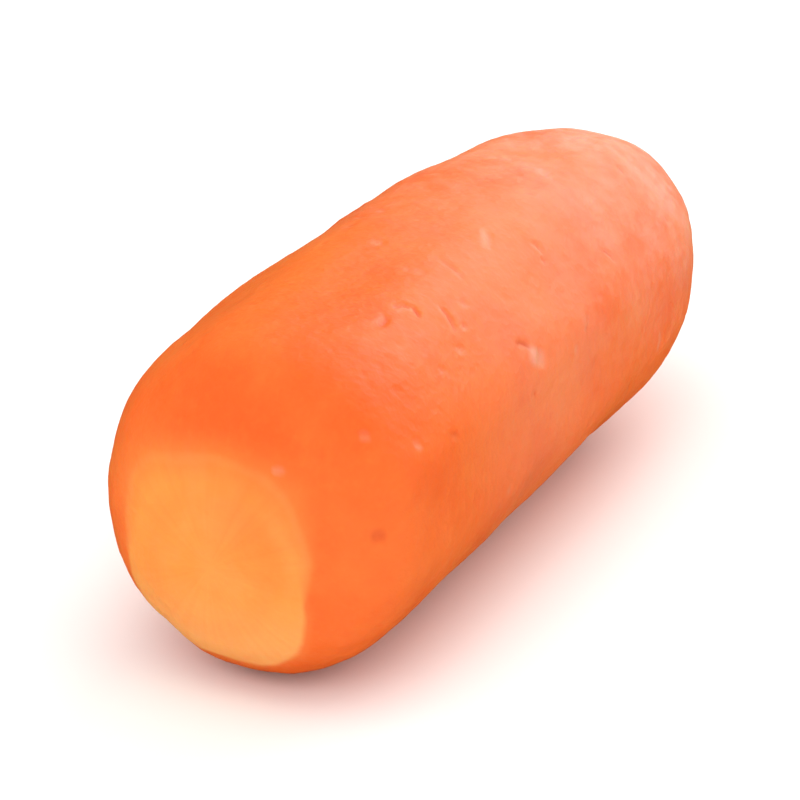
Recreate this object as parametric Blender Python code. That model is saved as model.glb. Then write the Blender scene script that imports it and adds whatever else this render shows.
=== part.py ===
"""A baby-cut carrot: one short piece of carrot root, peeled and tumbled smooth, lying on its side.

Metres, +Z up. The root's length runs along X. Its cut end, which shows the core, is at -X, and its
rounded end is at +X. The origin is on the surface that the carrot rests on, under the middle of its box.
"""

import math

import bmesh
import bpy
from mathutils import Matrix, Vector, noise

MM = 0.001

# Overall size, and the height as a share of the width
LENGTH = 50.7 * MM
WIDTH = 19.1 * MM
HEIGHT_SHARE = 0.965

# Girth along the length: (share of the length, share of half the width)
GIRTH = ((0.00, 0.918), (0.18, 0.990), (0.35, 1.000), (0.56, 0.986), (0.76, 0.919), (1.00, 0.877))

# The cut end: how far its worn edge reaches back, and how square that edge is on each side
CUT_REACH = 5.6 * MM
CUT_REACH_SWING = 0.65 * MM
CUT_LONGEST_SIDE = math.radians(45)
CUT_SQUARENESS = 2.67
CUT_SQUARENESS_SWING = 0.10
CUT_SQUAREST_SIDE = math.radians(20)
CUT_SLANT = math.radians(8.5)
CUT_SLANT_SIDE = math.radians(66)

# The rounded end
DOME_REACH = 15.1 * MM
DOME_SQUARENESS = 1.88
DOME_SQUARENESS_SWING = 0.06
DOME_SQUAREST_SIDE = math.radians(110)
DOME_SHIFT = 0.86 * MM
DOME_SHIFT_SIDE = math.radians(70)

# The bow of the root, sideways and along its underside
SIDE_BOW = 1.18 * MM
UNDERSIDE_BOW = 0.9 * MM

# The flat spot that it rests on
REST_DEPTH = 0.35 * MM
REST_PLACE = 0.46

# Flats that the peeling left: (side in degrees, share of the half-width taken off,
# place along the length, half of the length it covers), the last two as shares of the length
FLATS = (
    (14, 0.014, 0.30, 0.42),
    (52, 0.046, 0.63, 0.50),
    (97, 0.032, 0.40, 0.55),
    (139, 0.028, 0.70, 0.40),
    (176, 0.036, 0.34, 0.46),
    (222, 0.022, 0.74, 0.60),
    (305, 0.028, 0.36, 0.50),
    (340, 0.032, 0.74, 0.36),
)
FLAT_SOFTNESS = 0.030
FLAT_FULL_SHARE = 0.3
FLAT_WIDEST_TURN = math.radians(60)

# Shallow hollows: (share of the length, side in degrees, depth, half-length, half-width)
HOLLOWS = (
    (0.53, 42, 0.27 * MM, 4.2 * MM, 3.6 * MM),
    (0.71, 118, 0.22 * MM, 2.2 * MM, 2.6 * MM),
    (0.27, 150, 0.20 * MM, 1.8 * MM, 2.4 * MM),
    (0.40, 205, 0.26 * MM, 2.8 * MM, 3.0 * MM),
    (0.60, 220, 0.52 * MM, 5.4 * MM, 3.6 * MM),
    (0.64, 322, 0.24 * MM, 2.4 * MM, 2.8 * MM),
    (0.84, 70, 0.20 * MM, 1.9 * MM, 2.2 * MM),
    (0.20, 350, 0.18 * MM, 1.7 * MM, 2.1 * MM),
)
HOLLOW_FALL = 1.6

# The core at both ends: a shrunken ring round it and a small pit at its middle, which show
# in full on the inner share of the end face and fade out at the outer share
CORE_RADIUS = 3.6 * MM
CORE_RING_DEPTH = 0.10 * MM
CORE_RING_WIDTH = 0.75 * MM
PITH_DEPTH = 0.15 * MM
PITH_WIDTH = 0.9 * MM
FACE_INNER_SHARE = 0.35
FACE_OUTER_SHARE = 0.85
DOME_CORE_SHARE = 0.6

# The unevenness of a grown root
SWELL_HEIGHT = 0.16 * MM
SWELL_SPACING = 8.0 * MM
SWELL_SEED = Vector((3.1, 7.7, 1.9))

# Fineness and shading of the surface
SIDES = 60
CUT_RINGS = 16
BODY_RINGS = 36
DOME_RINGS = 16
SHARP_ANGLE = math.radians(35)
WELD = 0.001 * MM

# The flesh: colour in linear light, roughness
FLESH_COLOUR = (0.90, 0.19, 0.035, 1.0)
FLESH_ROUGHNESS = 0.46


def clear_scene():
    for old in list(bpy.data.objects):
        bpy.data.objects.remove(old)


def smooth_step(t):
    t = min(1.0, max(0.0, t))
    return t * t * (3 - 2 * t)


def half_width(x):
    """Half the root's width at x from the cut end, without its ends' rounding."""
    share = min(1.0, max(0.0, x / LENGTH))
    for (before, low), (after, high) in zip(GIRTH, GIRTH[1:]):
        if share <= after:
            return WIDTH / 2 * (low + (high - low) * smooth_step((share - before) / (after - before)))
    return WIDTH / 2 * GIRTH[-1][1]


def worn_corner(turn, squareness):
    """A quarter of a superellipse, at a turn from the axis: (share of its reach, share of its radius)."""
    run, rise = math.cos(turn), math.sin(turn)
    size = (run**squareness + rise**squareness) ** (-1 / squareness)
    return 1 - size * run, size * rise


def profile_point(ring, side):
    """(distance from the cut end, share of the half-width) for a ring, on one side of the root."""
    reach = CUT_REACH + CUT_REACH_SWING * math.cos(side - CUT_LONGEST_SIDE)
    if ring <= CUT_RINGS:
        squareness = CUT_SQUARENESS + CUT_SQUARENESS_SWING * math.cos(side - CUT_SQUAREST_SIDE)
        back, out = worn_corner(math.pi / 2 * ring / CUT_RINGS, squareness)
        return reach * back, out
    if ring <= CUT_RINGS + BODY_RINGS:
        along = (ring - CUT_RINGS) / BODY_RINGS
        return reach + along * (LENGTH - reach - DOME_REACH), 1.0
    left = CUT_RINGS + BODY_RINGS + DOME_RINGS - ring
    squareness = DOME_SQUARENESS + DOME_SQUARENESS_SWING * math.cos(side - DOME_SQUAREST_SIDE)
    back, out = worn_corner(math.pi / 2 * left / DOME_RINGS, squareness)
    return LENGTH - DOME_REACH * back, out


def soft_least(first, second, softness):
    """The smaller of two lengths, with the corner between them rounded off."""
    blend = max(0.0, softness - abs(first - second)) / softness
    return min(first, second) - blend * blend * softness / 4


def peeled(share, x, side):
    """The share of the half-width that is left where the flats are taken off."""
    for degrees, depth, place, reach in FLATS:
        off = side - math.radians(degrees)
        if math.cos(off) > math.cos(FLAT_WIDEST_TURN):
            taken = depth * smooth_step(1 + FLAT_FULL_SHARE - abs(x / LENGTH - place) / reach)
            share = soft_least(share, (1 - taken) / math.cos(off), FLAT_SOFTNESS)
    return share


def hollowed(x, side, radius):
    """How far the shallow hollows sink the surface at a point."""
    sunk = 0.0
    for place, degrees, depth, half_length, half_side in HOLLOWS:
        off = math.remainder(side - math.radians(degrees), math.tau) * radius
        near = ((x - place * LENGTH) / half_length) ** 2 + (off / half_side) ** 2
        sunk += depth * math.exp(-HOLLOW_FALL * near)
    return sunk


def core_sink(radius):
    """How far the core's ring and pith sink an end face, at a distance from the axis."""
    ring = math.exp(-(((radius - CORE_RADIUS) / CORE_RING_WIDTH) ** 2))
    pith = math.exp(-((radius / PITH_WIDTH) ** 2))
    return CORE_RING_DEPTH * ring + PITH_DEPTH * pith


def axis_point(x):
    """Where the root's own axis passes, at x from the cut end."""
    share = x / LENGTH
    sideways = SIDE_BOW * (1 - (2 * share - 1) ** 2)
    underside = UNDERSIDE_BOW * ((share - REST_PLACE) * 2) ** 2 - REST_DEPTH
    return Vector((x, sideways, underside + half_width(x) * HEIGHT_SHARE))


def surface_point(ring, side):
    x, out = profile_point(ring, side)
    full = half_width(x)
    # The flats and hollows fade towards the axis, so that both end faces stay whole.
    radius = full * out * (1 + (peeled(1.0, x, side) - 1) * out)
    radius -= hollowed(x, side, full) * out
    face = 1 - smooth_step((out - FACE_INNER_SHARE) / (FACE_OUTER_SHARE - FACE_INNER_SHARE))
    if ring < CUT_RINGS:
        x += core_sink(radius) * face
        x += math.tan(CUT_SLANT) * radius * math.cos(side - CUT_SLANT_SIDE) * (1 - ring / CUT_RINGS)
    elif ring > CUT_RINGS + BODY_RINGS:
        x -= DOME_CORE_SHARE * core_sink(radius) * face
    middle = axis_point(x)
    past = max(0.0, x - (LENGTH - DOME_REACH)) / DOME_REACH
    shift_way = Vector((0, math.cos(DOME_SHIFT_SIDE), math.sin(DOME_SHIFT_SIDE)))
    middle += shift_way * DOME_SHIFT * past * past
    point = middle + Vector((0, radius * math.cos(side), radius * math.sin(side) * HEIGHT_SHARE))
    swell = noise.noise(point / SWELL_SPACING + SWELL_SEED) * SWELL_HEIGHT
    outward = Vector((0, math.cos(side), math.sin(side)))
    return point + outward * swell * out


def skin_rings(bm):
    """Joins rings of points into one closed skin, with a point at each end."""
    last = CUT_RINGS + BODY_RINGS + DOME_RINGS
    rings = []
    for ring in range(1, last):
        sides = [math.tau * k / SIDES for k in range(SIDES)]
        rings.append([bm.verts.new(surface_point(ring, side)) for side in sides])
    for low, high in zip(rings, rings[1:]):
        for k in range(SIDES):
            after = (k + 1) % SIDES
            bm.faces.new((low[k], low[after], high[after], high[k]))
    for ring, end in ((rings[0], 0), (rings[-1], last)):
        tip = bm.verts.new(surface_point(end, 0.0))
        for k in range(SIDES):
            bm.faces.new((ring[k], ring[(k + 1) % SIDES], tip))
    bmesh.ops.recalc_face_normals(bm, faces=bm.faces)


def cut_rest_flat(bm):
    """Takes off what lies below the surface that the carrot rests on, and closes the cut with one face."""
    everything = bm.verts[:] + bm.edges[:] + bm.faces[:]
    cut = bmesh.ops.bisect_plane(
        bm, geom=everything, dist=WELD, plane_co=(0, 0, 0), plane_no=(0, 0, 1), clear_inner=True
    )
    edges = [part for part in cut["geom_cut"] if isinstance(part, bmesh.types.BMEdge)]
    for vertex in bm.verts:
        vertex.co.z = max(0.0, vertex.co.z)
    bmesh.ops.edgeloop_fill(bm, edges=edges)
    bmesh.ops.recalc_face_normals(bm, faces=bm.faces)


def centre_on_origin(mesh):
    """Moves the mesh so that the middle of its box, seen from above, is at the origin."""
    for axis in (0, 1):
        reach = [vertex.co[axis] for vertex in mesh.vertices]
        shift = Vector((0, 0, 0))
        shift[axis] = -(min(reach) + max(reach)) / 2
        mesh.transform(Matrix.Translation(shift))


def flesh_material():
    material = bpy.data.materials.new("carrot_flesh")
    material.use_nodes = True
    shader = material.node_tree.nodes["Principled BSDF"]
    shader.inputs["Base Color"].default_value = FLESH_COLOUR
    shader.inputs["Roughness"].default_value = FLESH_ROUGHNESS
    shader.inputs["Metallic"].default_value = 0.0
    return material


def make_carrot():
    mesh = bpy.data.meshes.new("carrot")
    bm = bmesh.new()
    skin_rings(bm)
    cut_rest_flat(bm)
    bm.to_mesh(mesh)
    bm.free()
    centre_on_origin(mesh)
    mesh.shade_smooth()
    mesh.set_sharp_from_angle(angle=SHARP_ANGLE)
    mesh.materials.append(flesh_material())
    carrot = bpy.data.objects.new("carrot", mesh)
    bpy.context.scene.collection.objects.link(carrot)


def main():
    clear_scene()
    make_carrot()


main()
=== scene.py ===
"""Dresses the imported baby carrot: its flesh, with marks and colours, and the floor, light and camera."""

import math
import random

import bmesh
import bpy
import numpy as np
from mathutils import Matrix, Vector


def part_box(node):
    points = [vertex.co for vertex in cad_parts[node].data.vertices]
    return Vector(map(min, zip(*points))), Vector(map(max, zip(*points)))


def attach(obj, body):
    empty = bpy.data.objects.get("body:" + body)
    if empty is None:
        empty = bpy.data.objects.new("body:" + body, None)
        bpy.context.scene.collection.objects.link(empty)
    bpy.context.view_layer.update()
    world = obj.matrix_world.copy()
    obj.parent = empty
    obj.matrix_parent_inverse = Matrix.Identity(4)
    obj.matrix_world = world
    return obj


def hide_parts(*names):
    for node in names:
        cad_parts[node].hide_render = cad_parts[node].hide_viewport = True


bl_info = {
    "name": "Peeled carrot",
    "version": (1, 0, 0),
    "blender": (4, 5, 0),
    "location": "View3D > Sidebar > Carrot",
    "description": "Shapes a tumbled piece of carrot over its solid and sets it on a white table",
    "category": "Object",
}

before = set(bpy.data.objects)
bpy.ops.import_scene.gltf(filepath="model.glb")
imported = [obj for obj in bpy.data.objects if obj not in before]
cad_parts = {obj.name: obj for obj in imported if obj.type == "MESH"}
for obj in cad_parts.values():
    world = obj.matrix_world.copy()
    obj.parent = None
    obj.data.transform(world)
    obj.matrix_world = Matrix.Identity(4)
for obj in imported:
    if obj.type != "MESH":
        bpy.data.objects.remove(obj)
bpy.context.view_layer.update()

MM = 0.001
NODE = "carrot"
PIECE = "peeled_carrot"

# The solid's box and the height of the root's own axis above the table
LOW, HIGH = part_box(NODE)
LENGTH = HIGH.x - LOW.x
WIDTH = HIGH.y - LOW.y
AXIS_HEIGHT = (LOW.z + HIGH.z) / 2

# The blank: a ball of square faces, drawn out to the carrot's length
BALL_CUTS = 9
BODY_CUTS = 10
FINE_LEVELS = 3
SMOOTH_PASSES = 16

# The spacing of the peeling's facets and ripples and of the tumbling's pebbles. A facet is three times
# as long as it is wide.
FACET_GRAIN = 3.4 * MM
FACET_STRETCH = (3.0, 1, 1)
RIPPLE_GRAIN = 2.2 * MM
RIPPLE_STRETCH = (1, 1.4, 1.4)
RIPPLE_SHARE = 0.4
PEBBLE_GRAIN = 0.75 * MM

# The marks of side roots seen from the front: (share of the length, side in degrees, half-length mm,
# half-width mm, depth share, turn in degrees from straight across, bend, paleness)
SEEN_MARKS = (
    (0.478, 117, 0.95, 0.19, 0.42, 63, 0.1, 0.9),
    (0.387, 117, 0.90, 0.18, 0.40, 12, 0.2, 0.3),
    (0.217, 118, 0.75, 0.17, 0.55, 84, 0.5, 0.3),
    (0.264, 117, 0.65, 0.18, 0.70, -58, 0.9, 0.6),
    (0.269, 122, 0.45, 0.17, 0.60, 35, 0.3, 0.2),
    (0.302, 130, 0.85, 0.18, 0.60, 24, 0.3, 0.4),
    (0.412, 159, 0.52, 0.48, 0.62, 30, 0.2, 1.0),
    (0.389, 151, 0.70, 0.17, 0.50, -55, 0.4, 0.1),
    (0.532, 130, 0.45, 0.17, 0.45, -15, 0.3, 0.5),
    (0.687, 109, 0.65, 0.28, 0.50, 66, 0.2, 0.8),
    (0.184, 158, 0.60, 0.17, 0.40, -69, 0.3, 0.2),
    (0.120, 153, 0.28, 0.20, 0.30, -65, 0.0, 0.8),
    (0.071, 141, 0.30, 0.20, 0.35, -52, 0.3, 0.6),
    (0.042, 174, 0.50, 0.42, 0.45, -75, 0.3, 0.0),
    (0.021, 132, 0.22, 0.20, 0.35, 67, 0.0, 0.9),
    (0.645, 148, 0.50, 0.17, 0.50, -25, 0.5, 0.4),
    (0.793, 128, 0.40, 0.17, 0.40, 15, 0.4, 0.5),
)
# On the side seen from the front, between these sides in degrees, no others are strewn
SEEN_SIDES = (85, 190)

# The marks all round: loose rows along the root, where its side roots grew, in degrees round it, and
# strays between them. They keep to these shares of the length and lie this far apart in mm. A millimetre
# round the root is about 6 degrees. Pits are small round marks that lie anywhere.
MARK_ROWS = (28, 112, 203, 297)
MARKS_IN_ROW = 13
ROW_SPREAD = 15
STRAY_MARKS = 34
MARK_REACH = (0.12, 0.92)
MARK_GAP = 3.2
DEGREES_PER_MM = 6
PITS = 90
PIT_REACH = (0.03, 0.97)
MARK_SEED = 41

# A point that would sink by less than this share of the deepest mark, a micrometre, is left alone
LEAST_SHARE = 0.004

# The core in millimetres: its radius at the two ends, how far it lies below and beside the axis at the
# cut end, how far its edge wavers, and the ring round its pith. A squareness of 2 is a circle.
CORE_RADIUS = 5.2
TIP_CORE_RADIUS = 3.4
CORE_SAG = 1.8
CORE_SIDE = 0.3
CORE_WAVER = 0.9
CORE_SQUARENESS = 3.6
PITH_RADIUS = 3.5

# The way from the axis in which the bloom and its painted sheen are fullest: up, and towards the front
BLOOM_AND_SHEEN_WAY = (0, -0.42, 0.91)

# The table's size in metres, where the camera points, and the width of its sensor in millimetres
TABLE_SIZE = 6
AIM = Vector((-1.4, 0.9, 7.0)) * MM
SENSOR_WIDTH = 36

# The soft lights' sizes in metres and power in watts
BACK_SIZE, BACK_POWER = 0.4, 1.2
OVERHEAD_SIZE, OVERHEAD_POWER = 0.6, 0.95
FILL_SIZE, FILL_POWER = 0.4, 1.0

# Kinds of shader node
MATH = "ShaderNodeMath"
RAMP = "ShaderNodeMapRange"
MIX = "ShaderNodeMix"
VECTOR = "ShaderNodeVectorMath"
NOISE = "ShaderNodeTexNoise"


def linear(colour):
    """An sRGB hex colour, such as "#FA7035", as linear red, green and blue."""
    shares = [int(colour[place : place + 2], 16) / 255 for place in (1, 3, 5)]
    return tuple(share / 12.92 if share <= 0.04045 else ((share + 0.055) / 1.055) ** 2.4 for share in shares)


def opaque(colour):
    """A colour with its fourth number, as a shader socket takes it."""
    return (*colour, 1.0)


class CarrotFleshSettings(bpy.types.PropertyGroup):
    """Colours and relief of the carrot."""

    flesh: bpy.props.FloatVectorProperty(
        name="Flesh",
        description="Outer flesh where it is fresh and wet",
        subtype="COLOR",
        min=0,
        max=1,
        default=linear("#EA6B22"),
    )
    # Darker flesh, also used to paint shade on the cut end's shoulder
    deep_flesh_and_shade: bpy.props.FloatVectorProperty(
        name="Deep flesh",
        description="Patches of the outer flesh that grew darker",
        subtype="COLOR",
        min=0,
        max=1,
        default=linear("#E65E16"),
    )
    core: bpy.props.FloatVectorProperty(
        name="Core",
        description="The paler inside that the ends lay open",
        subtype="COLOR",
        min=0,
        max=1,
        default=linear("#EE933C"),
    )
    core_ring: bpy.props.FloatVectorProperty(
        name="Core ring",
        description="Thin growing layer round the core and inside it",
        subtype="COLOR",
        min=0,
        max=1,
        default=linear("#F2A960"),
    )
    # Pale colour of the dry bloom, also used as painted sheen and for the marks' painted highlights
    bloom_and_sheen_colour: bpy.props.FloatVectorProperty(
        name="Blush",
        description="Pale bloom where the scuffed surface has dried",
        subtype="COLOR",
        min=0,
        max=1,
        default=linear("#DCAE98"),
    )
    # Colour of the marks' floors, laid on as painted shade that is darker the deeper a mark sinks
    scar_and_shade: bpy.props.FloatVectorProperty(
        name="Scar",
        description="Floor of the marks that side roots left",
        subtype="COLOR",
        min=0,
        max=1,
        default=linear("#CC4811"),
    )
    mark_depth: bpy.props.FloatProperty(
        name="Mark depth",
        description="Depth of the deepest mark of a side root",
        unit="LENGTH",
        precision=5,
        min=0,
        default=0.26 * MM,
    )
    facet_depth: bpy.props.FloatProperty(
        name="Facet depth",
        description="Depth of the flats and hollows that the peeling left",
        unit="LENGTH",
        precision=5,
        min=0,
        default=0.14 * MM,
    )
    pebble_depth: bpy.props.FloatProperty(
        name="Pebble depth",
        description="Depth of the fine unevenness that the tumbling left",
        unit="LENGTH",
        precision=5,
        min=0,
        default=0.07 * MM,
    )


class CarrotStageSettings(bpy.types.PropertyGroup):
    """The table, the light and the camera."""

    floor_colour: bpy.props.FloatVectorProperty(
        name="Floor",
        description="White table that the carrot lies on",
        subtype="COLOR",
        min=0,
        max=1,
        default=linear("#F4F2EF"),
    )
    azimuth: bpy.props.FloatProperty(
        name="Azimuth",
        description="Way round the carrot that the camera stands",
        subtype="ANGLE",
        default=math.radians(-65),
    )
    elevation: bpy.props.FloatProperty(
        name="Elevation",
        description="Height of the camera above the table, as an angle",
        subtype="ANGLE",
        default=math.radians(23),
    )
    distance: bpy.props.FloatProperty(
        name="Distance",
        description="From the camera to the carrot",
        unit="LENGTH",
        default=0.36,
    )
    lens: bpy.props.FloatProperty(
        name="Focal length",
        description="Focal length of the camera's lens in millimetres",
        unit="CAMERA",
        default=309,
    )


def select_only(piece):
    """Deselects all, then selects a piece and makes it the active one."""
    bpy.ops.object.select_all(action="DESELECT")
    piece.select_set(True)
    bpy.context.view_layer.objects.active = piece


def apply_modifier(piece, kind, **settings):
    """Adds a modifier with its settings and applies it."""
    select_only(piece)
    added = piece.modifiers.new(kind.title(), kind)
    for name, value in settings.items():
        setattr(added, name, value)
    bpy.ops.object.modifier_apply(modifier=added.name)


def select_points(piece, wanted):
    """In edit mode, selects the points whose place passes a test, with the edges between them."""
    mesh = bmesh.from_edit_mesh(piece.data)
    for part in (*mesh.faces, *mesh.edges, *mesh.verts):
        part.select = False
    for point in mesh.verts:
        point.select = wanted(point.co)
    mesh.select_flush(True)
    bmesh.update_edit_mesh(piece.data)


def select_edges(piece, wanted):
    """In edit mode, selects the edges whose two ends pass a test."""
    bpy.ops.mesh.select_mode(type="EDGE")
    mesh = bmesh.from_edit_mesh(piece.data)
    for part in (*mesh.faces, *mesh.edges, *mesh.verts):
        part.select = False
    for edge in mesh.edges:
        edge.select = wanted(edge.verts[0].co, edge.verts[1].co)
    bmesh.update_edit_mesh(piece.data)


def merged_guide():
    """A copy of the carrot's solid with its loose triangles joined, to shape the blank on."""
    select_only(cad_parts[NODE])
    bpy.ops.object.duplicate()
    guide = bpy.context.active_object
    bpy.ops.object.mode_set(mode="EDIT")
    bpy.ops.mesh.select_all(action="SELECT")
    bpy.ops.mesh.remove_doubles(threshold=0.001 * MM)
    bpy.ops.mesh.normals_make_consistent(inside=False)
    bpy.ops.object.mode_set(mode="OBJECT")
    return guide


def drawn_out_ball():
    """A ball of square faces, as thick as the carrot, with its two halves drawn apart to its length."""
    bpy.ops.object.select_all(action="DESELECT")
    bpy.ops.mesh.primitive_cube_add(size=WIDTH, location=(0, 0, 0))
    piece = bpy.context.active_object
    piece.name = piece.data.name = PIECE
    bpy.ops.object.mode_set(mode="EDIT")
    bpy.ops.mesh.select_all(action="SELECT")
    bpy.ops.mesh.subdivide(number_cuts=BALL_CUTS)
    bpy.ops.transform.tosphere(value=1.0)
    radius = max(point.co.x for point in bmesh.from_edit_mesh(piece.data).verts)
    to_size = WIDTH / 2 / radius
    bpy.ops.transform.resize(value=(to_size,) * 3, center_override=(0, 0, 0))
    # The ring of points in the middle stays, and the long edges on both sides of it are cut again.
    apart = (LENGTH - WIDTH) / 2
    middle = WIDTH / 100
    for way in (-1, 1):
        select_points(piece, lambda place: place.x * way > middle)
        bpy.ops.transform.translate(value=(apart * way, 0, 0))
    select_edges(piece, lambda first, second: abs(first.x - second.x) > apart / 2)
    bpy.ops.mesh.subdivide(number_cuts=BODY_CUTS)
    bpy.ops.mesh.select_mode(type="VERT")
    bpy.ops.mesh.select_all(action="SELECT")
    bpy.ops.transform.translate(value=(0, 0, AXIS_HEIGHT))
    bpy.ops.object.mode_set(mode="OBJECT")
    return piece


def shrink_onto(piece, guide):
    """Moves each point of the blank along its normal onto the solid."""
    apply_modifier(
        piece,
        "SHRINKWRAP",
        target=guide,
        wrap_method="PROJECT",
        use_positive_direction=True,
        use_negative_direction=True,
    )


def press_texture(piece, kind, grain, depth, stretch=(1, 1, 1), **settings):
    """Sinks the surface by up to a depth where a solid texture is dark. The grain is its spacing."""
    texture = bpy.data.textures.new("press", kind)
    texture.noise_scale = grain
    for name, value in settings.items():
        setattr(texture, name, value)
    bpy.ops.object.empty_add(location=(0, 0, 0))
    ruler = bpy.context.active_object
    ruler.scale = stretch
    bpy.context.view_layer.update()
    apply_modifier(
        piece,
        "DISPLACE",
        texture=texture,
        texture_coords="OBJECT",
        texture_coords_object=ruler,
        direction="NORMAL",
        mid_level=1.0,
        strength=depth,
    )
    bpy.data.objects.remove(ruler)
    bpy.data.textures.remove(texture)


def surface_of(piece):
    """The places and normals of a piece's points, as two arrays."""
    mesh = piece.data
    places = np.zeros(len(mesh.vertices) * 3)
    mesh.vertices.foreach_get("co", places)
    normals = np.zeros(len(mesh.vertices) * 3)
    mesh.vertex_normals.foreach_get("vector", normals)
    return places.reshape(-1, 3), normals.reshape(-1, 3)


def every_mark():
    """The marks seen from the front and, all round, the ones in rows and the strays."""
    draw = random.Random(MARK_SEED)
    marks = list(SEEN_MARKS)
    seen = [(share, side) for share, side, *_ in SEEN_MARKS]
    places = [
        (draw.uniform(*MARK_REACH), row + draw.gauss(0, ROW_SPREAD / 2))
        for row in MARK_ROWS
        for _ in range(MARKS_IN_ROW)
    ]
    places += [(draw.uniform(*MARK_REACH), draw.uniform(0, 360)) for _ in range(STRAY_MARKS)]
    for share, side in places:
        # Most marks are small. A longer one is deeper too.
        size = draw.random() ** 1.6
        mark = (
            share,
            side,
            0.28 + 0.80 * size,
            draw.uniform(0.14, 0.21),
            0.16 + 0.44 * size * draw.uniform(0.6, 1.2),
            draw.gauss(0, 24),
            draw.uniform(-0.7, 0.7),
            draw.random(),
        )
        crowded = any(
            abs(share - s) * LENGTH / MM + abs(side - a) / DEGREES_PER_MM < MARK_GAP for s, a in seen
        )
        if not crowded and not SEEN_SIDES[0] < side % 360 < SEEN_SIDES[1]:
            marks.append(mark)
            seen.append((share, side))
    for _ in range(PITS):
        across = draw.uniform(0.16, 0.30)
        share, side = draw.uniform(*PIT_REACH), draw.uniform(0, 360)
        marks.append((share, side, across, across, draw.uniform(0.15, 0.42), 0, 0, draw.random() * 0.8))
    return marks


def mark_shares(piece):
    """For each point of the carrot, three shares: its depth in a mark, the mark's dark, a painted shade that
    deepens with the trough, and its pale, partly a painted highlight on a lip.
    """
    places, normals = surface_of(piece)
    places = places / MM
    sides = np.degrees(np.arctan2(places[:, 2] - AXIS_HEIGHT / MM, places[:, 1])) % 360
    along = (places[:, 0] - LOW.x / MM) / (LENGTH / MM)
    root = np.array((1.0, 0.0, 0.0))
    sunk = np.zeros(len(places))
    dark = np.zeros(len(places))
    light = np.zeros(len(places))
    for share, side, half_length, half_width, depth, turn, bend, pale in every_mark():
        side_gap = np.abs((sides - side + 180) % 360 - 180) / 360 * math.pi * WIDTH / MM
        nearest = int(np.argmin(side_gap**2 + ((along - share) * LENGTH / MM) ** 2))
        centre, normal = places[nearest], normals[nearest]
        across = np.cross(normal, root)
        across /= np.linalg.norm(across)
        lengthwise = np.cross(across, normal)
        angle = math.radians(turn)
        run_way = across * math.cos(angle) + lengthwise * math.sin(angle)
        wide_way = np.cross(normal, run_way)
        # How far each point lies from the mark, in its half-lengths and half-widths, along its bend
        offset = places - centre
        near = np.abs(offset @ normal) < 2 * half_length + 1
        run = offset @ run_way / half_length
        wide = offset @ wide_way / half_width - bend * run**2 * half_length / half_width * 0.5
        # A soft trough, with a lip along one side of it. The trough gets a painted shade by its depth, and
        # the lip a painted highlight.
        inside = np.exp(-1.1 * (wide**2 + run**4)) * near
        beside = np.exp(-0.8 * ((wide - 1.5) ** 2 + run**4)) * near
        sunk = np.maximum(sunk, inside * depth)
        # Painted shade in the trough, darker the deeper it sinks, and a painted highlight on the lip
        dark = np.maximum(dark, inside * depth * (1 - 0.8 * pale))
        light = np.maximum(light, np.maximum(beside, inside * 0.7) * pale * min(1, depth * 1.6))
    return sunk, dark, light


def press_marks(piece, depth):
    """Sinks the marks of the side roots into the surface and keeps their places for the colours."""
    sunk, dark, light = mark_shares(piece)
    group = piece.vertex_groups.new(name="marks")
    for point in np.flatnonzero(sunk > LEAST_SHARE):
        group.add([int(point)], float(min(1.0, sunk[point])), "REPLACE")
    apply_modifier(
        piece, "DISPLACE", direction="NORMAL", mid_level=0.0, strength=-depth, vertex_group=group.name
    )
    piece.vertex_groups.clear()
    for name, shares in (("mark_scar_and_shade", dark), ("mark_pale_and_highlight", light)):
        attribute = piece.data.attributes.new(name, "FLOAT", "POINT")
        attribute.data.foreach_set("value", shares.astype(np.float32))


def add_node(tree, kind, inputs=None, **settings):
    """Adds a node. inputs maps each socket to a value or to the output that feeds it."""
    added = tree.nodes.new(kind)
    for name, value in settings.items():
        setattr(added, name, value)
    for socket, value in (inputs or {}).items():
        if isinstance(value, bpy.types.NodeSocket):
            tree.links.new(value, added.inputs[socket])
        else:
            added.inputs[socket].default_value = value
    return added


def places_in_mm(tree):
    """Places in millimetres from the root's axis, so that a scale in a pattern is one over its size."""
    place = add_node(tree, "ShaderNodeTexCoord").outputs["Object"]
    place = add_node(tree, VECTOR, {0: place, 1: (0, 0, AXIS_HEIGHT)}, operation="SUBTRACT").outputs[0]
    return add_node(tree, VECTOR, {0: place, "Scale": 1 / MM}, operation="SCALE").outputs[0]


def soft_patch(tree, place, centre, reach, full, share):
    """A round patch: a share within its full radius that falls to nothing at its reach, in mm."""
    away = add_node(tree, VECTOR, {0: place, 1: centre}, operation="DISTANCE").outputs["Value"]
    fall = {0: away, 1: reach, 2: full, 4: share}
    return add_node(tree, RAMP, fall, interpolation_type="SMOOTHSTEP").outputs[0]


def growth_layers(tree, settings, place, drawn, fibres):
    """Layers of the outer flesh: darker patches 9 mm across, one of them a painted shade, pale fibres and
    pale streaks.
    """
    patches = add_node(tree, NOISE, {"Vector": place, "Scale": 1 / 9, "Detail": 3, "Roughness": 0.55})
    deep_patches_and_shade = add_node(
        tree, RAMP, {0: patches.outputs[0], 1: 0.38, 2: 0.68}, interpolation_type="SMOOTHSTEP"
    ).outputs[0]
    # One such patch, a painted shade, lies on the shoulder of the cut end, to the side of its top.
    painted_shoulder_shade = soft_patch(tree, place, (-20, -5.5, 7), reach=7.0, full=1.5, share=1.0)
    deep_patches_and_shade = add_node(tree, MATH, {0: deep_patches_and_shade, 1: painted_shoulder_shade}, operation="MAXIMUM").outputs[0]
    pale_fibre = add_node(tree, RAMP, {0: fibres, 1: 0.50, 2: 0.80, 4: 0.08}).outputs[0]
    streaks = add_node(tree, NOISE, {"Vector": drawn, "Scale": 1 / 2.6, "Detail": 2, "Roughness": 0.5})
    pale_streak = add_node(tree, RAMP, {0: streaks.outputs[0], 1: 0.48, 2: 0.75, 4: 0.10}).outputs[0]
    return [(deep_patches_and_shade, settings.deep_flesh_and_shade), (pale_fibre, settings.core), (pale_streak, settings.core)]


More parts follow.
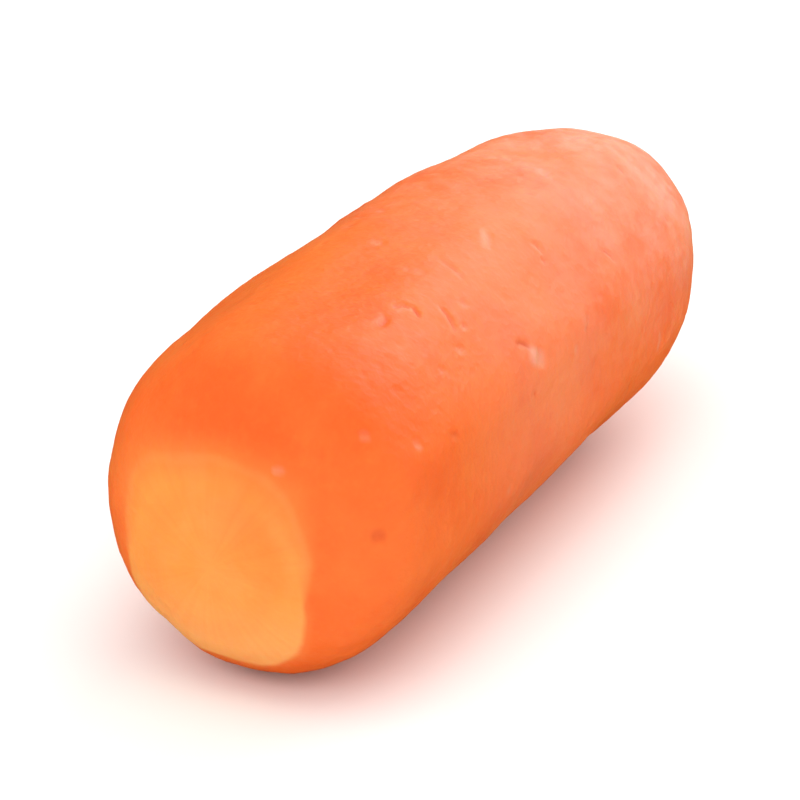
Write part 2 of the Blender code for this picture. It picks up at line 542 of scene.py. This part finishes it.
def core_layers(tree, settings, place, clouds):
    """Layers of the pale core that the ends lay open, of its rim and of the ring round its pith.

    At the cut end it is a rounded square that sags below the axis. Towards the tip it narrows and
    becomes a soft round on the axis. Its edge wavers, and is sharper below than above.
    """
    parts = add_node(tree, "ShaderNodeSeparateXYZ", {0: place}).outputs
    sag = add_node(tree, RAMP, {0: parts[0], 1: -22, 2: 4, 3: CORE_SAG, 4: 0.0}).outputs[0]
    height = add_node(tree, MATH, {0: parts[2], 1: sag}, operation="ADD").outputs[0]
    side = add_node(tree, MATH, {0: parts[1], 1: CORE_SIDE}, operation="SUBTRACT").outputs[0]
    from_pith = add_node(tree, "ShaderNodeCombineXYZ", {1: side, 2: height}).outputs[0]
    round_reach = add_node(tree, VECTOR, {0: from_pith}, operation="LENGTH").outputs["Value"]
    square = add_node(tree, VECTOR, {0: from_pith}, operation="ABSOLUTE").outputs[0]
    square = add_node(tree, VECTOR, {0: square, 1: (CORE_SQUARENESS,) * 3}, operation="POWER").outputs[0]
    square = add_node(tree, VECTOR, {0: square, 1: (1, 1, 1)}, operation="DOT_PRODUCT").outputs["Value"]
    square_reach = add_node(tree, MATH, {0: square, 1: 1 / CORE_SQUARENESS}, operation="POWER").outputs[0]
    tipness = add_node(tree, RAMP, {0: parts[0], 1: -10, 2: 10}).outputs[0]
    reach = add_node(tree, MIX, {0: tipness, 2: square_reach, 3: round_reach}, data_type="FLOAT").outputs[0]
    radius = {0: parts[0], 1: -22, 2: 22, 3: CORE_RADIUS, 4: TIP_CORE_RADIUS}
    radius = add_node(tree, RAMP, radius).outputs[0]
    waver = add_node(tree, NOISE, {"Vector": place, "Scale": 1 / 5.0, "Detail": 3, "Roughness": 0.4})
    waver = add_node(tree, RAMP, {0: waver.outputs[0], 3: -CORE_WAVER, 4: CORE_WAVER}).outputs[0]
    past_edge = add_node(tree, MATH, {0: reach, 1: radius}, operation="SUBTRACT").outputs[0]
    past_edge = add_node(tree, MATH, {0: past_edge, 1: waver}, operation="ADD").outputs[0]
    softness = add_node(tree, RAMP, {0: height, 1: -1.0, 2: 5.0, 3: 0.15, 4: 2.0}).outputs[0]
    softness = add_node(tree, MIX, {0: tipness, 2: softness, 3: 1.3}, data_type="FLOAT").outputs[0]
    inward = add_node(tree, MATH, {0: softness, 1: -1.0}, operation="MULTIPLY").outputs[0]
    in_core = add_node(
        tree, RAMP, {0: past_edge, 1: softness, 2: inward}, interpolation_type="SMOOTHSTEP"
    ).outputs[0]

    # Inside it are cloudy pale places, a painted bounce light that pales it towards its lower edge, faint
    # rays and a deeper heart.
    cloudy = add_node(tree, RAMP, {0: clouds, 1: 0.42, 2: 0.62, 4: 0.22}).outputs[0]
    # Painted light: the core is paler towards its lower edge, as if lit by bounce from below
    painted_bounce_light = add_node(tree, RAMP, {0: parts[2], 1: -2.5, 2: -6.0, 4: 0.75}).outputs[0]
    pale = add_node(tree, MATH, {0: cloudy, 1: painted_bounce_light}, operation="MAXIMUM").outputs[0]
    core = {0: pale, 6: opaque(settings.core), 7: opaque(settings.core_ring)}
    core = add_node(tree, MIX, core, data_type="RGBA").outputs[2]
    ray = add_node(tree, VECTOR, {0: from_pith}, operation="NORMALIZE").outputs[0]
    rays = add_node(tree, NOISE, {"Vector": ray, "Scale": 9, "Detail": 3, "Roughness": 0.6})
    rays = add_node(tree, RAMP, {0: rays.outputs[0], 1: 0.35, 2: 0.75, 4: 0.16}).outputs[0]
    heart = soft_patch(tree, place, (-25, -2.2, 0.8), reach=4.4, full=0.4, share=0.30)
    deeper = add_node(tree, MATH, {0: rays, 1: heart}, operation="ADD").outputs[0]
    core = {0: deeper, 6: core, 7: opaque(settings.flesh)}
    core = add_node(tree, MIX, core, data_type="RGBA").outputs[2]

    # A thin pale ring follows its edge, and a faint dark one runs round the pith.
    rim = add_node(tree, MATH, {0: past_edge}, operation="ABSOLUTE").outputs[0]
    rim = {0: rim, 1: 0.42, 2: 0.05, 4: 0.10}
    rim = add_node(tree, RAMP, rim, interpolation_type="SMOOTHSTEP").outputs[0]
    pith = add_node(tree, MATH, {0: round_reach, 1: PITH_RADIUS}, operation="SUBTRACT").outputs[0]
    pith = add_node(tree, MATH, {0: pith, 1: waver}, operation="ADD").outputs[0]
    pith = add_node(tree, MATH, {0: pith}, operation="ABSOLUTE").outputs[0]
    pith = {0: pith, 1: 1.1, 2: 0.1, 4: 0.09}
    pith = add_node(tree, RAMP, pith, interpolation_type="SMOOTHSTEP").outputs[0]
    return [(in_core, core), (rim, settings.core_ring), (pith, settings.deep_flesh_and_shade)]


def bloom_and_sheen_share(tree, place, flecks, clouds):
    """How much pale colour lies on the surface: dry bloom from where it was scuffed, and painted sheen.

    It is mottled in flecks, clouds and smears 1.2 mm wide across the root. It grows towards the tip
    and is fullest where the upper side turns down; there and at the tip much of it is painted sheen.
    """
    squeezed = add_node(tree, "ShaderNodeMapping", {"Vector": place, "Scale": (1, 0.55, 0.55)}).outputs[0]
    smears = add_node(tree, NOISE, {"Vector": squeezed, "Scale": 1 / 1.2, "Detail": 2}).outputs[0]
    mottle = add_node(tree, MATH, {0: flecks, 1: 0.6, 2: clouds}, operation="MULTIPLY_ADD").outputs[0]
    mottle = add_node(tree, MATH, {0: smears, 1: 0.15, 2: mottle}, operation="MULTIPLY_ADD").outputs[0]
    mottle = add_node(tree, RAMP, {0: mottle, 1: 0.70, 2: 1.05, 3: 0.40, 4: 1.0}).outputs[0]

    parts = add_node(tree, "ShaderNodeSeparateXYZ", {0: place}).outputs
    along = add_node(tree, RAMP, {0: parts[0], 1: -10, 2: 24, 4: 1.3}).outputs[0]
    along = add_node(tree, MATH, {0: along, 1: 1.35}, operation="POWER").outputs[0]

    # The direction away from the axis is eased to nothing within 5 mm of it, so that the tip has no seam.
    from_axis = add_node(tree, "ShaderNodeCombineXYZ", {1: parts[1], 2: parts[2]}).outputs[0]
    reach = add_node(tree, VECTOR, {0: from_axis}, operation="LENGTH").outputs["Value"]
    reach = add_node(tree, MATH, {0: reach, 1: 5.0}, operation="MAXIMUM").outputs[0]
    reach = add_node(tree, MATH, {0: 1.0, 1: reach}, operation="DIVIDE").outputs[0]
    outward = add_node(tree, VECTOR, {0: from_axis, "Scale": reach}, operation="SCALE").outputs[0]
    around = add_node(tree, VECTOR, {0: outward, 1: BLOOM_AND_SHEEN_WAY}, operation="DOT_PRODUCT").outputs["Value"]
    around = add_node(tree, RAMP, {0: around, 1: 0.10, 2: 1.0, 4: 0.62}).outputs[0]

    bloom_and_sheen = add_node(tree, MATH, {0: along, 1: around}, operation="MULTIPLY").outputs[0]
    bloom_and_sheen = add_node(tree, MATH, {0: bloom_and_sheen, 1: mottle}, operation="MULTIPLY").outputs[0]
    # A faint even patch of painted sheen lies lower down on the front flank, about halfway along.
    painted_flank_sheen = soft_patch(tree, place, (-5, -9, 2.0), reach=12.0, full=1.0, share=0.12)
    return add_node(tree, MATH, {0: bloom_and_sheen, 1: painted_flank_sheen}, operation="ADD").outputs[0]


def mark_layers(tree, settings):
    """Layers of the marks' pale and dark parts, from where the surface was pressed: scar colour with painted
    shade in the troughs, and painted highlights on the lips.
    """
    light = add_node(tree, "ShaderNodeAttribute", attribute_name="mark_pale_and_highlight").outputs["Fac"]
    light = add_node(tree, RAMP, {0: light, 1: 0.05, 2: 0.8, 4: 0.42}).outputs[0]
    dark = add_node(tree, "ShaderNodeAttribute", attribute_name="mark_scar_and_shade").outputs["Fac"]
    dark = add_node(tree, RAMP, {0: dark, 1: 0.10, 2: 0.55, 4: 0.62}).outputs[0]
    return [(light, settings.bloom_and_sheen_colour), (dark, settings.scar_and_shade)]


def fine_relief(tree, place, fibres):
    """Bump too fine to model: cells 0.42 mm and grit 0.5 mm across, and scratches along the root."""
    cells = add_node(tree, "ShaderNodeTexVoronoi", {"Vector": place, "Scale": 1 / 0.42}).outputs[0]
    grit = add_node(tree, NOISE, {"Vector": place, "Scale": 1 / 0.5, "Detail": 4, "Roughness": 0.6})
    grit = grit.outputs[0]
    relief = add_node(tree, MATH, {0: cells, 1: 0.45, 2: grit}, operation="MULTIPLY_ADD").outputs[0]
    relief = add_node(tree, MATH, {0: fibres, 1: 0.2, 2: relief}, operation="MULTIPLY_ADD").outputs[0]
    bump = {"Height": relief, "Strength": 0.55, "Distance": 0.08 * MM}
    return add_node(tree, "ShaderNodeBump", bump).outputs[0]


def tumbled_carrot_flesh(settings):
    """Raw carrot root, peeled by abrasion and tumbled smooth in water.

    The eye sees dense orange flesh that glows a little from within, a satin skin of moisture over fine
    unevenness, a paler core at both ends, and a pale bloom that is partly dry scuffed surface and partly
    painted sheen.
    """
    material = bpy.data.materials.new("tumbled_carrot_flesh")
    material.use_nodes = True
    tree = material.node_tree
    tree.nodes.clear()

    # Fibres 0.5 mm wide run along the root. Its surface is flecked in spots 0.7 mm across, and
    # clouded in places 2.6 mm across.
    place = places_in_mm(tree)
    drawn = add_node(tree, "ShaderNodeMapping", {"Vector": place, "Scale": (0.12, 1, 1)}).outputs[0]
    fibres = add_node(tree, NOISE, {"Vector": drawn, "Scale": 1 / 0.5, "Detail": 4, "Roughness": 0.6})
    fibres = fibres.outputs[0]
    flecks = add_node(tree, NOISE, {"Vector": place, "Scale": 1 / 0.7, "Detail": 4, "Roughness": 0.6})
    flecks = flecks.outputs[0]
    clouds = add_node(tree, NOISE, {"Vector": place, "Scale": 1 / 2.6, "Detail": 2}).outputs[0]

    # The colour: each layer lies over those before it, by its share.
    bloom_and_sheen = bloom_and_sheen_share(tree, place, flecks, clouds)
    layers = growth_layers(tree, settings, place, drawn, fibres)
    layers += core_layers(tree, settings, place, clouds)
    # Pale bloom, partly painted sheen on the upper side towards the tip
    layers += [(bloom_and_sheen, settings.bloom_and_sheen_colour)]
    layers += mark_layers(tree, settings)
    colour = opaque(settings.flesh)
    for share, over in layers:
        if not isinstance(over, bpy.types.NodeSocket):
            over = opaque(over)
        colour = add_node(tree, MIX, {0: share, 6: colour, 7: over}, data_type="RGBA").outputs[2]

    # Satin: moisture lies in the low places, and the bloom with its painted sheen is duller.
    gloss = add_node(tree, RAMP, {0: flecks, 1: 0.3, 2: 0.7, 3: 0.42, 4: 0.56}).outputs[0]
    roughness = add_node(tree, MATH, {0: bloom_and_sheen, 1: 0.25, 2: gloss}, operation="MULTIPLY_ADD").outputs[0]

    shader = add_node(
        tree,
        "ShaderNodeBsdfPrincipled",
        {
            "Base Color": colour,
            "Roughness": roughness,
            "Normal": fine_relief(tree, place, fibres),
            # Wet plant flesh lies between water (1.33) and cell walls (1.5).
            "IOR": 1.42,
            "Subsurface Weight": 0.55,
            "Subsurface Radius": (1.0, 0.34, 0.12),
            "Subsurface Scale": 1.6 * MM,
        },
    )
    add_node(tree, "ShaderNodeOutputMaterial", {"Surface": shader.outputs[0]})
    return material


def white_laminate(colour):
    """White laminated table top, smooth and matt: an even pale ground with soft shadows."""
    material = bpy.data.materials.new("white_laminate")
    material.use_nodes = True
    tree = material.node_tree
    tree.nodes.clear()
    place = add_node(tree, "ShaderNodeTexCoord").outputs["Object"]
    # A laminate's stipple is about 1.5 mm across and only just dulls it.
    stipple = add_node(tree, NOISE, {"Vector": place, "Scale": 1 / (1.5 * MM)})
    dullness = add_node(tree, RAMP, {0: stipple.outputs[0], 3: 0.62, 4: 0.70})
    shader = add_node(
        tree,
        "ShaderNodeBsdfPrincipled",
        {"Base Color": opaque(colour), "Roughness": dullness.outputs[0], "IOR": 1.45},
    )
    add_node(tree, "ShaderNodeOutputMaterial", {"Surface": shader.outputs[0]})
    return material


class CARROT_OT_shape_flesh(bpy.types.Operator):
    """Shape the peeled carrot over its solid, press its marks and give it its flesh"""

    bl_idname = "carrot.shape_flesh"
    bl_label = "Shape the carrot"

    def execute(self, context):
        settings = context.scene.carrot_flesh
        guide = merged_guide()
        piece = drawn_out_ball()
        shrink_onto(piece, guide)
        apply_modifier(piece, "SUBSURF", levels=FINE_LEVELS, render_levels=FINE_LEVELS)
        shrink_onto(piece, guide)
        apply_modifier(piece, "SMOOTH", factor=0.5, iterations=SMOOTH_PASSES)
        bpy.data.objects.remove(guide)
        # Facets about 3 mm wide and 10 mm long, ripples across the root, and the tumbling's pebbles
        facet, pebble = settings.facet_depth, settings.pebble_depth
        press_texture(piece, "VORONOI", FACET_GRAIN, facet, FACET_STRETCH, distance_metric="DISTANCE")
        press_texture(piece, "CLOUDS", RIPPLE_GRAIN, facet * RIPPLE_SHARE, RIPPLE_STRETCH)
        press_texture(piece, "CLOUDS", PEBBLE_GRAIN, pebble, noise_depth=2)
        press_marks(piece, settings.mark_depth)
        select_only(piece)
        bpy.ops.object.shade_smooth()
        piece.data.materials.clear()
        piece.data.materials.append(tumbled_carrot_flesh(settings))
        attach(piece, "root")
        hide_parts(NODE)
        return {"FINISHED"}


def add_area_light(name, place, size, power):
    """A square soft light that faces the carrot."""
    bpy.ops.object.light_add(type="AREA", location=place)
    light = bpy.context.active_object
    light.name = light.data.name = name
    light.rotation_euler = (Vector((0, 0, AXIS_HEIGHT)) - Vector(place)).to_track_quat("-Z", "Y").to_euler()
    light.data.size = size
    light.data.energy = power
    return light


class CARROT_OT_set_stage(bpy.types.Operator):
    """Lay the white table, light it softly and aim the camera"""

    bl_idname = "carrot.set_stage"
    bl_label = "Set the stage"

    def execute(self, context):
        settings = context.scene.carrot_stage
        bpy.ops.object.select_all(action="DESELECT")
        bpy.ops.mesh.primitive_plane_add(size=TABLE_SIZE, location=(0, 0, 0))
        floor = context.active_object
        floor.name = floor.data.name = "floor"
        floor.data.materials.append(white_laminate(settings.floor_colour))
        floor.visible_glossy = False

        world = bpy.data.worlds.new("pale_room")
        world.use_nodes = True
        world.node_tree.nodes["Background"].inputs["Color"].default_value = opaque(linear("#FFFFFF"))
        world.node_tree.nodes["Background"].inputs["Strength"].default_value = 1.0
        world.cycles_visibility.glossy = False
        context.scene.world = world

        back = Vector(
            (
                math.sin(settings.azimuth) * math.cos(settings.elevation),
                -math.cos(settings.azimuth) * math.cos(settings.elevation),
                math.sin(settings.elevation),
            )
        )
        away = Vector((-back.x, -back.y, 0)).normalized()
        right = Vector((-back.y, back.x, 0)).normalized()
        # The lights stand off, in metres, from where the camera points. Only the softbox behind the
        # carrot shows in its sheen.
        behind = AIM + away * 0.36 + right * 0.26 + Vector((0, 0, 0.27))
        add_area_light("back_softbox", behind, BACK_SIZE, BACK_POWER)
        above = AIM + Vector((0, 0, 0.6))
        overhead = add_area_light("overhead_softbox", above, OVERHEAD_SIZE, OVERHEAD_POWER)
        overhead.visible_glossy = False
        front = AIM + back * 0.5 - right * 0.14 + Vector((0, 0, 0.1))
        fill = add_area_light("front_fill", front, FILL_SIZE, FILL_POWER)
        fill.visible_glossy = False

        bpy.ops.object.camera_add(location=AIM + back * settings.distance)
        camera = context.active_object
        camera.rotation_euler = (-back).to_track_quat("-Z", "Y").to_euler()
        camera.data.lens = settings.lens
        camera.data.sensor_width = SENSOR_WIDTH
        camera.data.clip_start = 0.01
        context.scene.camera = camera
        context.scene.view_settings.view_transform = "Standard"
        return {"FINISHED"}


class CARROT_PT_sidebar(bpy.types.Panel):
    """The carrot's tools and settings"""

    bl_idname = "CARROT_PT_sidebar"
    bl_label = "Carrot"
    bl_space_type = "VIEW_3D"
    bl_region_type = "UI"
    bl_category = "Carrot"

    def draw(self, context):
        flesh = context.scene.carrot_flesh
        stage = context.scene.carrot_stage
        self.layout.operator(CARROT_OT_shape_flesh.bl_idname)
        for name in CarrotFleshSettings.__annotations__:
            self.layout.prop(flesh, name)
        self.layout.operator(CARROT_OT_set_stage.bl_idname)
        for name in CarrotStageSettings.__annotations__:
            self.layout.prop(stage, name)


CLASSES = (
    CarrotFleshSettings,
    CarrotStageSettings,
    CARROT_OT_shape_flesh,
    CARROT_OT_set_stage,
    CARROT_PT_sidebar,
)


def register():
    """Adds the operators, the panel and the carrot's settings."""
    for each in CLASSES:
        bpy.utils.register_class(each)
    bpy.types.Scene.carrot_flesh = bpy.props.PointerProperty(type=CarrotFleshSettings)
    bpy.types.Scene.carrot_stage = bpy.props.PointerProperty(type=CarrotStageSettings)


def unregister():
    """Takes them away again."""
    del bpy.types.Scene.carrot_stage
    del bpy.types.Scene.carrot_flesh
    for each in reversed(CLASSES):
        bpy.utils.unregister_class(each)


def main():
    """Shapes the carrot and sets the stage."""
    register()
    bpy.ops.carrot.shape_flesh()
    bpy.ops.carrot.set_stage()


if __name__ == "__main__":
    main()
